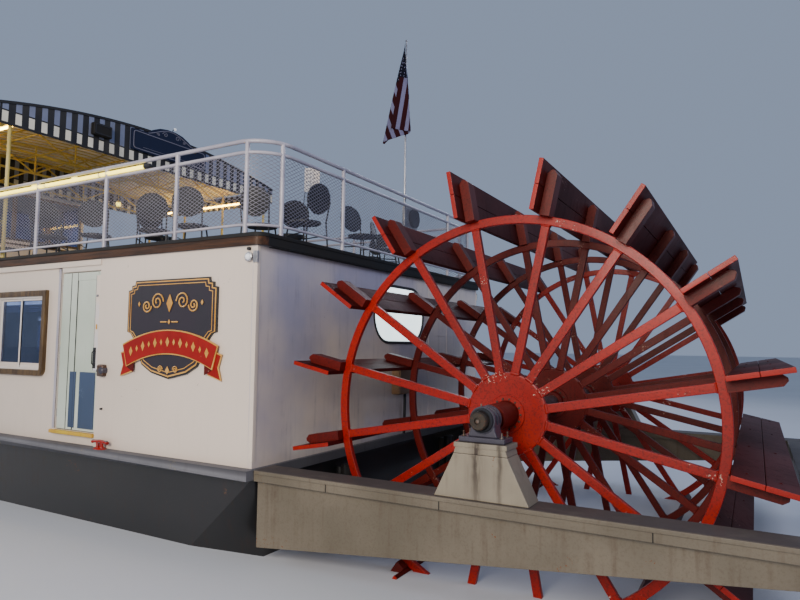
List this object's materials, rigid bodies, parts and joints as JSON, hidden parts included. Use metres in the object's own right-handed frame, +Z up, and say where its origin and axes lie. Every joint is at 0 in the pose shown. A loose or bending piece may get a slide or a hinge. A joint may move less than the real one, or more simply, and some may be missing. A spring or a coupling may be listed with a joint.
{
  "type": "sternwheel paddle boat",
  "caption": "Flat-bottomed excursion boat driven by a large red stern paddle wheel, with a main deck cabin, railed upper deck, canopy and pilothouse",
  "frame": {"origin": "under the middle of the flat hull bottom, halfway along the overall length", "axes": "+X to the bow, +Y to port, +Z up"},
  "size_m": [20.4, 5.97, 8.35],
  "materials": {
    "hull_paint": "semi-gloss black, rust at the waterline",
    "deck_paint": "matt non-slip grey",
    "beam_paint": "white, chipped, with rust streaks",
    "bearing_iron": "grey casting, greasy",
    "shaft_steel": "turned steel, oiled",
    "wheel_paint": "gloss vermilion, chipped at the welds",
    "board_paint": "gloss red paint on planks, worn edges",
    "cabin_paint": "semi-gloss cream white",
    "door_paint": "satin pale green and slate blue",
    "engine_iron": "painted casting",
    "fascia_wood": "worn dark brown",
    "rail_paint": "pale satin paint on tube",
    "stair_alloy": "brushed tread plate",
    "canopy_cloth": "coated awning cloth",
    "valance_cloth": "black and white striped awning cloth",
    "canopy_tube": "warm cream paint on tube",
    "sign_paint": "painted sign board",
    "stack_paint": "heat-dulled black",
    "staff_alloy": "anodised tube",
    "flag_cloth": "light woven flag cloth",
    "window_glass": "clear pane",
    "window_frame": "varnished brown frame",
    "window_sash": "white enamelled sash",
    "gasket_rubber": "black gasket",
    "lamp_glow": "warm light tube",
    "fitting_grey": "grey fitting",
    "fitting_red": "red fitting",
    "chair_plastic": "black seat shell",
    "floor_board": "worn floor boards"
  },
  "bodies": {
    "root": {"hull": "hull_paint", "main_deck": "deck_paint", "fantail_beam_port": "beam_paint", "fantail_beam_starboard": "beam_paint", "fantail_end_beam": "hull_paint", "wheel_pedestal_port": "beam_paint", "wheel_pedestal_starboard": "beam_paint", "shaft_bearing_port": "bearing_iron", "shaft_bearing_starboard": "bearing_iron", "cabin_port_wall": "cabin_paint", "cabin_starboard_wall": "cabin_paint", "cabin_aft_wall": "cabin_paint", "cabin_front_wall": "cabin_paint", "engine": "engine_iron", "upper_deck": "fascia_wood", "upper_rail_port": "rail_paint", "upper_rail_starboard": "rail_paint", "upper_rail_stern": "rail_paint", "upper_rail_front": "rail_paint", "bow_rail": "rail_paint", "bow_stair": "stair_alloy", "canopy_roof": "canopy_cloth", "canopy_valance": "valance_cloth", "canopy_frame": "canopy_tube", "canopy_name_board": "sign_paint", "pilothouse_walls": "cabin_paint", "pilothouse_roof": "cabin_paint", "sign_port": "sign_paint", "sign_starboard": "sign_paint", "smokestack_port": "stack_paint", "smokestack_starboard": "stack_paint", "flagstaff": "staff_alloy", "flag": "flag_cloth"},
    "paddle_wheel": {"paddle_shaft": "shaft_steel", "wheel_frame_port": "wheel_paint", "wheel_frame_port_inner": "wheel_paint", "wheel_frame_starboard_inner": "wheel_paint", "wheel_frame_starboard": "wheel_paint", "paddle_board_01": "board_paint", "paddle_board_02": "board_paint", "paddle_board_03": "board_paint", "paddle_board_04": "board_paint", "paddle_board_05": "board_paint", "paddle_board_06": "board_paint", "paddle_board_07": "board_paint", "paddle_board_08": "board_paint", "paddle_board_09": "board_paint", "paddle_board_10": "board_paint", "paddle_board_11": "board_paint", "paddle_board_12": "board_paint", "paddle_board_13": "board_paint", "paddle_board_14": "board_paint", "paddle_board_15": "board_paint", "paddle_board_16": "board_paint"},
    "rudder_port": {"rudder_port": "hull_paint"},
    "rudder_starboard": {"rudder_starboard": "hull_paint"},
    "port_door": {"port_door": "door_paint"},
    "starboard_door": {"starboard_door": "door_paint"},
    "bow_door": {"bow_door": "door_paint"},
    "pilothouse_door": {"pilothouse_door": "door_paint"}
  },
  "joints": [
    {"name": "paddle_wheel_turn", "type": "hinge", "parent": "root", "child": "paddle_wheel", "pos_m": [-7.7, 0, 2.438], "axis": [0, 1, 0], "continuous": true},
    {"name": "rudder_port_turn", "type": "hinge", "parent": "root", "child": "rudder_port", "pos_m": [-5.44, 1.4, 0.6], "axis": [0, 0, 1], "range_deg": [-35, 35]},
    {"name": "rudder_starboard_turn", "type": "hinge", "parent": "root", "child": "rudder_starboard", "pos_m": [-5.44, -1.4, 0.6], "axis": [0, 0, 1], "range_deg": [-35, 35]},
    {"name": "port_door_swing", "type": "hinge", "parent": "root", "child": "port_door", "pos_m": [-2.027, 2.842, 2.925], "axis": [0, 0, -1], "range_deg": [0, 110]},
    {"name": "starboard_door_swing", "type": "hinge", "parent": "root", "child": "starboard_door", "pos_m": [-2.027, -2.842, 2.925], "axis": [0, 0, 1], "range_deg": [0, 110]},
    {"name": "bow_door_swing", "type": "hinge", "parent": "root", "child": "bow_door", "pos_m": [5.26, 0.423, 2.925], "axis": [0, 0, 1], "range_deg": [0, 105]},
    {"name": "pilothouse_door_swing", "type": "hinge", "parent": "root", "child": "pilothouse_door", "pos_m": [4.553, 1.18, 5.175], "axis": [0, 0, -1], "range_deg": [0, 100]}
  ],
  "couplings": [
    {"joint": "rudder_starboard_turn", "follows": "rudder_port_turn", "ratio": 1}
  ]
}
